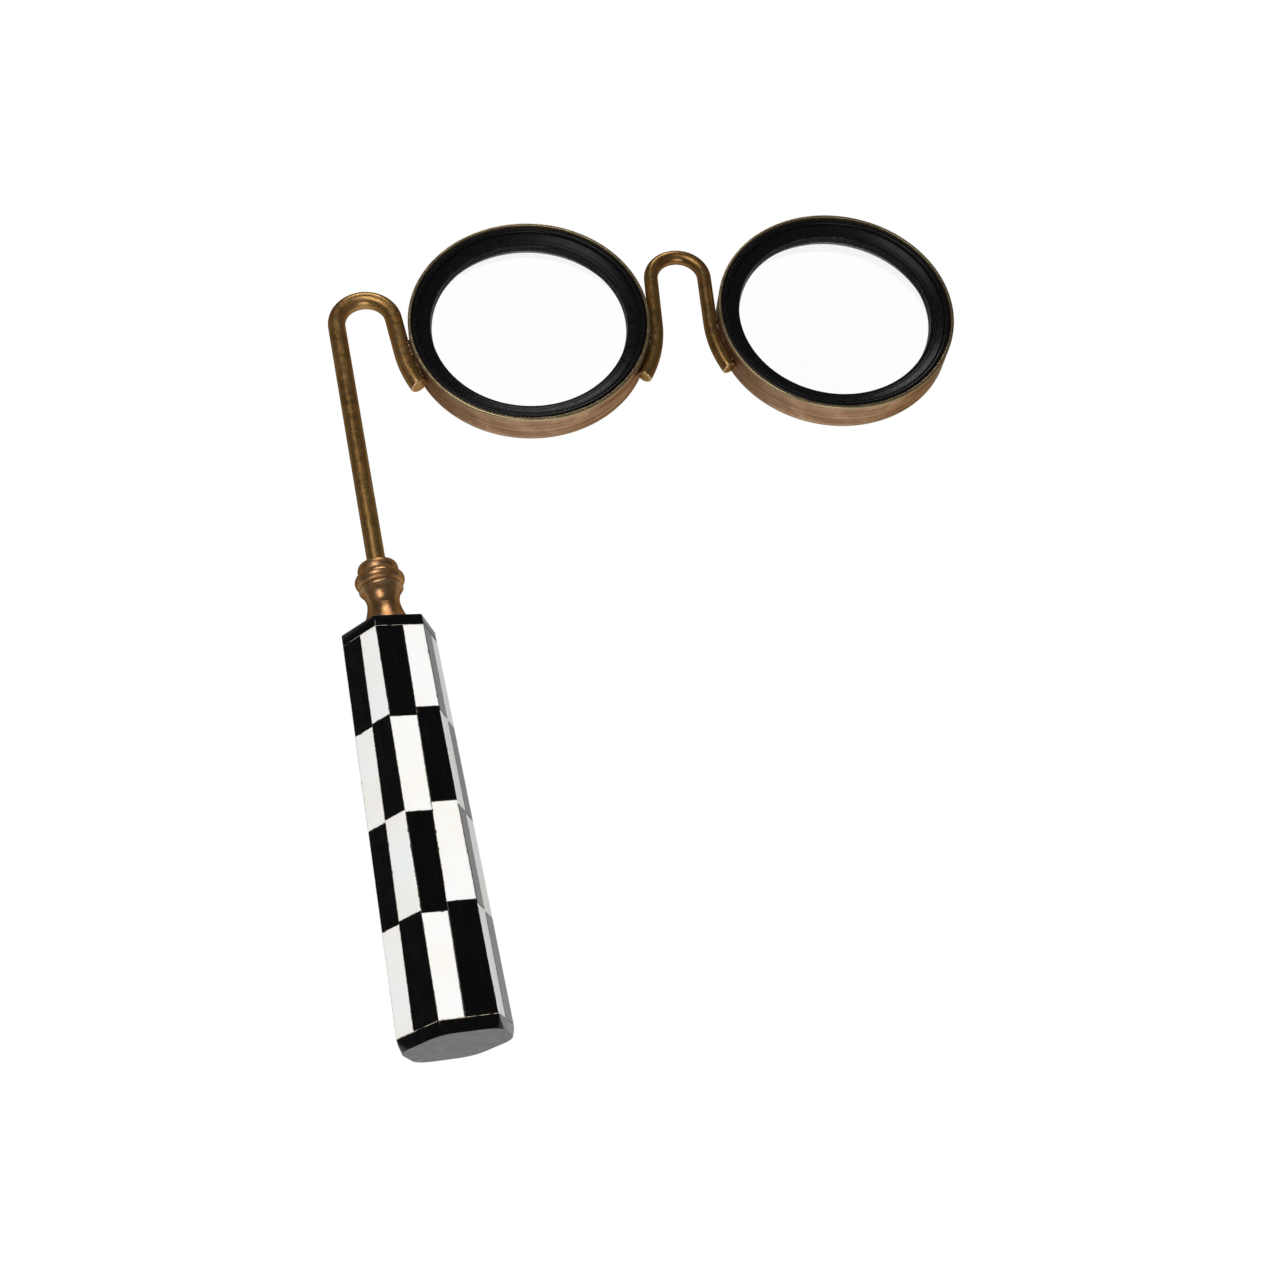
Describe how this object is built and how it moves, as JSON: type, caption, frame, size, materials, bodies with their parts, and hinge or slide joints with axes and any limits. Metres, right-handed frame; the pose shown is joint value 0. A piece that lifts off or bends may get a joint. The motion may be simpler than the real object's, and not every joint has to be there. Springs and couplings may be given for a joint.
{
  "type": "opera glasses",
  "caption": "Hand-held opera glasses: round lenses in brass rims on a wire bridge, hooked brass arm, turned ferrule and a hexagonal handle inlaid with bone and horn.",
  "frame": {"origin": "under the middle of the bounding box, level with the lowest edge of the handle", "axes": "+Z out of the lens fronts along the lens axes, +X from the arm's lens to the free lens, +Y from the handle's butt to the lenses"},
  "size_m": [0.1494, 0.1984, 0.023],
  "materials": {
    "rim_brass": "brushed, aged to a rosy bronze",
    "rod_brass": "aged, olive brown with polished lights",
    "turned_brass": "turned and aged",
    "solder": "brazed bead, dull with bright specks",
    "black_ring": "black, satin, finely turned",
    "lens_glass": "clear, polished",
    "steel": "plain threaded stock",
    "core_wood": "plain hardwood, hidden",
    "resin": "brown filler resin",
    "bone": "polished natural bone",
    "horn": "polished black horn"
  },
  "bodies": {
    "glasses": {"left_rim": "rim_brass", "right_rim": "rim_brass", "left_front_ring": "black_ring", "right_front_ring": "black_ring", "left_rear_ring": "black_ring", "right_rear_ring": "black_ring", "left_lens": "lens_glass", "right_lens": "lens_glass", "bridge_rod": "rod_brass", "left_bridge_solder": "solder", "right_bridge_solder": "solder", "arm_rod": "rod_brass", "arm_solder": "solder", "ferrule": "turned_brass", "handle_stud": "steel"},
    "handle": {"handle_core": "core_wood", "handle_bush": "turned_brass", "resin_bed": "resin", "top_cap": "horn", "end_cap": "horn", "bone_tiles_1": "bone", "bone_tiles_2": "bone", "bone_tiles_3": "bone", "bone_tiles_4": "bone", "bone_tiles_5": "bone", "bone_tiles_6": "bone", "bone_tiles_7": "bone", "bone_tiles_8": "bone", "bone_tiles_9": "bone", "bone_tiles_10": "bone", "bone_tiles_11": "bone", "bone_tiles_12": "bone", "horn_tiles_1": "horn", "horn_tiles_2": "horn", "horn_tiles_3": "horn", "horn_tiles_4": "horn", "horn_tiles_5": "horn", "horn_tiles_6": "horn", "horn_tiles_7": "horn", "horn_tiles_8": "horn", "horn_tiles_9": "horn", "horn_tiles_10": "horn", "horn_tiles_11": "horn", "horn_tiles_12": "horn"}
  },
  "joints": [
    {"name": "handle_turn", "type": "hinge", "parent": "glasses", "child": "handle", "pos_m": [-0.06259, -0.00839, 0.01149], "axis": [0.1219, -0.9925, 0], "range_deg": [0, 360]}
  ]
}
